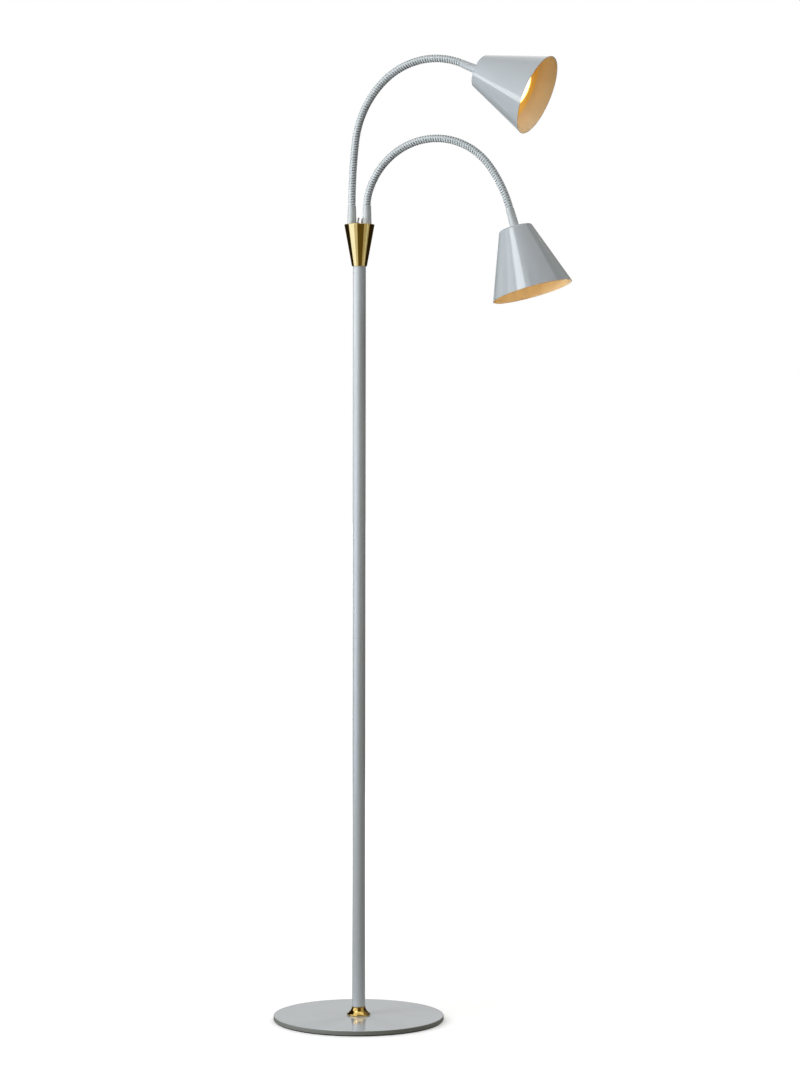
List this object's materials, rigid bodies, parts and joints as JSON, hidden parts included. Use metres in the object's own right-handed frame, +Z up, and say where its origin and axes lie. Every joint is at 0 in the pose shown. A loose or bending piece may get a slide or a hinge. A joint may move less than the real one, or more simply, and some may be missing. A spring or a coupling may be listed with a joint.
{
  "type": "floor reading lamp",
  "caption": "Slim floor lamp with a round base, a straight stem, a brass cone head and two ribbed goosenecks that each carry a conical metal shade.",
  "frame": {"origin": "centre of the base pad's underside, on the floor under the stem", "axes": "+Z up along the stem; both arms bend out over +X; the cord inlet faces +Y"},
  "size_m": [0.4471, 0.25, 1.4076],
  "materials": {
    "grey_paint": "glossy pale blue-grey enamel",
    "shade_paint": "glossy pale blue-grey enamel outside, white inside",
    "hose_paint": "satin pale blue-grey paint on a wound steel hose",
    "polished_brass": "polished and lacquered",
    "zinc_steel": "zinc plated",
    "chrome": "polished",
    "black_pad": "dense foam sheet",
    "black_rubber": "moulded",
    "switch_plastic": "moulded",
    "white_ceramic": "glazed ceramic look",
    "lamp_glass": "reflective gold-tinted glass bowl",
    "lamp_lens": "frosted, lit warm white"
  },
  "bodies": {
    "stand": {"base_plate": "grey_paint", "base_collar": "polished_brass", "head_cone": "polished_brass", "cone_cap": "polished_brass", "base_pad": "black_pad", "cord_inlet": "black_rubber", "base_washer": "zinc_steel", "base_nut": "zinc_steel", "base_rod": "zinc_steel", "joint_rod": "zinc_steel", "head_rod": "zinc_steel", "head_nut": "zinc_steel", "arm_nuts": "zinc_steel", "switch_nuts": "chrome", "front_switch": "switch_plastic", "back_switch": "switch_plastic", "lower_tube": "grey_paint", "lower_tube_foot": "zinc_steel", "lower_tube_plug": "zinc_steel", "upper_tube": "grey_paint", "upper_tube_foot": "zinc_steel", "upper_tube_head": "zinc_steel", "upper_arm_rod": "zinc_steel", "lower_arm_rod": "zinc_steel", "upper_base_ferrule": "grey_paint", "lower_base_ferrule": "grey_paint"},
    "upper_neck": {"upper_gooseneck": "hose_paint"},
    "upper_head": {"upper_head_ferrule": "grey_paint", "upper_shade": "shade_paint", "upper_shade_rod": "zinc_steel", "upper_shade_nut": "zinc_steel", "upper_lampholder": "white_ceramic", "upper_lamp": "lamp_glass", "upper_lamp_lens": "lamp_lens"},
    "lower_neck": {"lower_gooseneck": "hose_paint"},
    "lower_head": {"lower_head_ferrule": "grey_paint", "lower_shade": "shade_paint", "lower_shade_rod": "zinc_steel", "lower_shade_nut": "zinc_steel", "lower_lampholder": "white_ceramic", "lower_lamp": "lamp_glass", "lower_lamp_lens": "lamp_lens"},
    "front_lever": {"front_toggle": "chrome"},
    "back_lever": {"back_toggle": "chrome"}
  },
  "joints": [
    {"name": "upper_swing", "type": "hinge", "parent": "stand", "child": "upper_neck", "pos_m": [-0.0118, 0, 1.1935], "axis": [0, 0, 1], "range_deg": [-75, 75]},
    {"name": "upper_bend", "type": "hinge", "parent": "upper_neck", "child": "upper_head", "pos_m": [0.0293, 0, 1.3642], "axis": [0, 1, 0], "range_deg": [-45, 12], "deforming": ["upper_gooseneck"]},
    {"name": "lower_swing", "type": "hinge", "parent": "stand", "child": "lower_neck", "pos_m": [0.0118, 0, 1.1935], "axis": [0, 0, 1], "range_deg": [-75, 75]},
    {"name": "lower_bend", "type": "hinge", "parent": "lower_neck", "child": "lower_head", "pos_m": [0.0904, 0, 1.2839], "axis": [0, 1, 0], "range_deg": [-30, 35], "deforming": ["lower_gooseneck"]},
    {"name": "front_switch_lever", "type": "hinge", "parent": "stand", "child": "front_lever", "pos_m": [0, -0.0075, 1.1667], "axis": [0, 1, 0], "range_deg": [-24, 0]},
    {"name": "back_switch_lever", "type": "hinge", "parent": "stand", "child": "back_lever", "pos_m": [0, 0.0075, 1.1667], "axis": [0, 1, 0], "range_deg": [-24, 0]}
  ]
}
